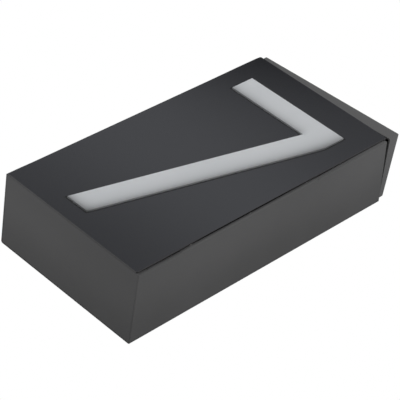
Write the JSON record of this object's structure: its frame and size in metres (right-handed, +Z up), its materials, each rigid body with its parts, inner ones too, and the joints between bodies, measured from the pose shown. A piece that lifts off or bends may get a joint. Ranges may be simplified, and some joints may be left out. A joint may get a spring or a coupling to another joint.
{
  "type": "illuminated house number sign",
  "caption": "Upright box sign for a wall: dark folded-metal box, push-on dark front panel, raised opal numeral lit from behind by a light box, loose top end cap.",
  "frame": {"origin": "midway between the two wall-screw slots, on the back face that lies against the wall", "axes": "+Z up along the numeral, +X to the right for somebody facing the sign, -Y out of the wall through the front"},
  "size_m": [0.126, 0.06, 0.2623],
  "materials": {
    "coated_steel": "matt fine-texture powder coat, dark grey",
    "panel_dark": "satin, dark bluish grey",
    "opal": "opal acrylic, satin",
    "white_sheet": "matt white",
    "foam": "closed-cell foam, black",
    "board_white": "white solder mask",
    "led_lens": "lamp lens",
    "steel": "zinc plated",
    "tinned": "tinned copper",
    "brass": "plain",
    "nylon": "natural nylon",
    "driver_plastic": "white housing",
    "rubber": "matt black",
    "wire_brown": "insulation",
    "wire_blue": "insulation",
    "wire_green": "insulation",
    "lead_grey": "insulation"
  },
  "bodies": {
    "box": {"housing": "coated_steel", "bottom_cap": "coated_steel", "cap_brackets": "coated_steel", "snap_bushes": "nylon", "led_plug": "nylon", "led_driver": "driver_plastic", "terminal_block": "nylon", "terminal_clamps": "brass", "terminal_screws": "steel", "mounting_studs": "steel", "mounting_nuts": "steel", "earth_stud": "steel", "ring_terminal": "tinned", "earth_nut": "brass", "cable_grommet": "rubber", "live_wire": "wire_brown", "neutral_wire": "wire_blue", "earth_wire": "wire_green", "led_lead": "lead_grey"},
    "front": {"front_panel": "panel_dark", "numeral": "opal", "diffuser_plate": "opal", "diffuser_gasket": "foam", "light_box": "white_sheet", "led_board": "board_white", "leds": "led_lens", "board_screws": "steel", "board_nuts": "steel", "panel_studs": "steel", "stud_washers": "steel", "stud_nuts": "steel", "snap_pins": "steel", "panel_seal": "foam", "led_socket": "nylon"},
    "cap": {"top_cap": "coated_steel", "cap_screws": "steel", "cap_screw_rings": "nylon"}
  },
  "joints": [
    {"name": "front_pull", "type": "slide", "parent": "box", "child": "front", "axis": [0, -1, 0], "range_m": [0, 0.06]},
    {"name": "cap_lift", "type": "slide", "parent": "box", "child": "cap", "axis": [0, 0, 1], "range_m": [0, 0.04]}
  ]
}
